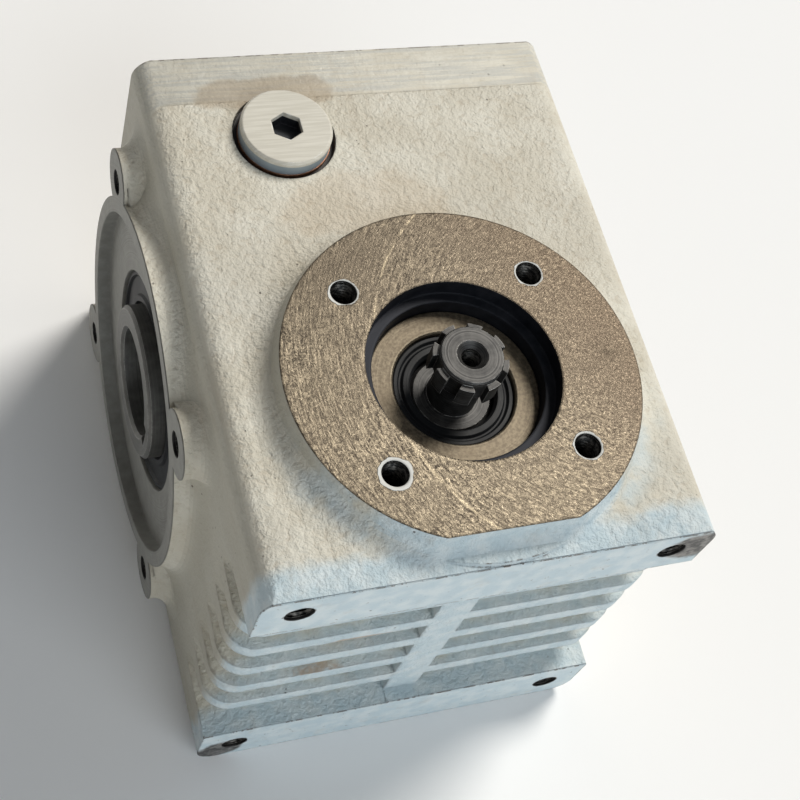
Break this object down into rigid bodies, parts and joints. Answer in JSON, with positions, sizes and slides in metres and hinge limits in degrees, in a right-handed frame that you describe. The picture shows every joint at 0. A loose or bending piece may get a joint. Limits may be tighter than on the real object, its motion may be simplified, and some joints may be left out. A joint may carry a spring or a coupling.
{
  "type": "worm gearbox",
  "caption": "Cast worm gearbox with a motor flange, splined input end, hollow keyed output shaft and finned foot rails.",
  "frame": {"origin": "centre of the hollow output shaft's bore", "axes": "+X along the output shaft away from the side seen in the picture, +Z towards the motor flange, foot rails towards -Y; the part lies on its back face"},
  "size_m": [0.158, 0.18, 0.158],
  "materials": {
    "housing_paint": "weathered machine paint on cast iron",
    "cover_paint": "weathered machine paint on cast iron",
    "gasket_paper": "oiled gasket paper",
    "screw_steel": "blackened steel",
    "seal_rubber": "matt nitrile rubber",
    "carrier_iron": "turned, oxidised",
    "spring_steel": "phosphated",
    "cap_rubber": "rubber over pressed steel",
    "plug_paint": "machine paint over steel",
    "washer_copper": "dull copper",
    "hub_iron": "turned",
    "wheel_bronze": "hobbed bronze",
    "pin_steel": "ground",
    "shaft_steel": "hardened and ground",
    "bearing_steel": "ground",
    "cage_polymer": "moulded",
    "ball_steel": "polished"
  },
  "bodies": {
    "case": {"housing": "housing_paint", "side_cover": "cover_paint", "cover_gasket": "gasket_paper", "cover_screws": "screw_steel", "left_seal": "seal_rubber", "right_seal": "seal_rubber", "input_seal": "seal_rubber", "seal_carrier": "carrier_iron", "rear_circlip": "spring_steel", "end_cap": "cap_rubber", "oil_plug": "plug_paint", "plug_washer": "washer_copper", "left_bearing_outer_ring": "bearing_steel", "right_bearing_outer_ring": "bearing_steel", "rear_bearing_outer_ring": "bearing_steel", "front_bearing_outer_ring": "bearing_steel"},
    "output": {"output_hub": "hub_iron", "wheel_rim": "wheel_bronze", "rim_pins": "pin_steel", "left_bearing_inner_ring": "bearing_steel", "right_bearing_inner_ring": "bearing_steel"},
    "worm": {"worm_shaft": "shaft_steel", "rear_bearing_inner_ring": "bearing_steel", "front_bearing_inner_ring": "bearing_steel"},
    "left_cage": {"left_bearing_cage": "cage_polymer", "left_bearing_balls": "ball_steel"},
    "right_cage": {"right_bearing_cage": "cage_polymer", "right_bearing_balls": "ball_steel"},
    "rear_cage": {"rear_bearing_cage": "cage_polymer", "rear_bearing_balls": "ball_steel"},
    "front_cage": {"front_bearing_cage": "cage_polymer", "front_bearing_balls": "ball_steel"}
  },
  "joints": [
    {"name": "output_turn", "type": "hinge", "parent": "case", "child": "output", "pos_m": [0, 0, 0], "axis": [1, 0, 0], "continuous": true},
    {"name": "worm_turn", "type": "hinge", "parent": "case", "child": "worm", "pos_m": [0, -0.05, 0], "axis": [0, 0, 1], "continuous": true},
    {"name": "left_cage_turn", "type": "hinge", "parent": "case", "child": "left_cage", "pos_m": [0, 0, 0], "axis": [1, 0, 0], "continuous": true},
    {"name": "right_cage_turn", "type": "hinge", "parent": "case", "child": "right_cage", "pos_m": [0, 0, 0], "axis": [1, 0, 0], "continuous": true},
    {"name": "rear_cage_turn", "type": "hinge", "parent": "case", "child": "rear_cage", "pos_m": [0, -0.05, 0], "axis": [0, 0, 1], "continuous": true},
    {"name": "front_cage_turn", "type": "hinge", "parent": "case", "child": "front_cage", "pos_m": [0, -0.05, 0], "axis": [0, 0, 1], "continuous": true}
  ],
  "couplings": [
    {"joint": "worm_turn", "follows": "output_turn", "ratio": 16},
    {"joint": "left_cage_turn", "follows": "output_turn", "ratio": 0.43308},
    {"joint": "right_cage_turn", "follows": "output_turn", "ratio": 0.43308},
    {"joint": "rear_cage_turn", "follows": "output_turn", "ratio": 6.3501},
    {"joint": "front_cage_turn", "follows": "output_turn", "ratio": 6.3501}
  ]
}
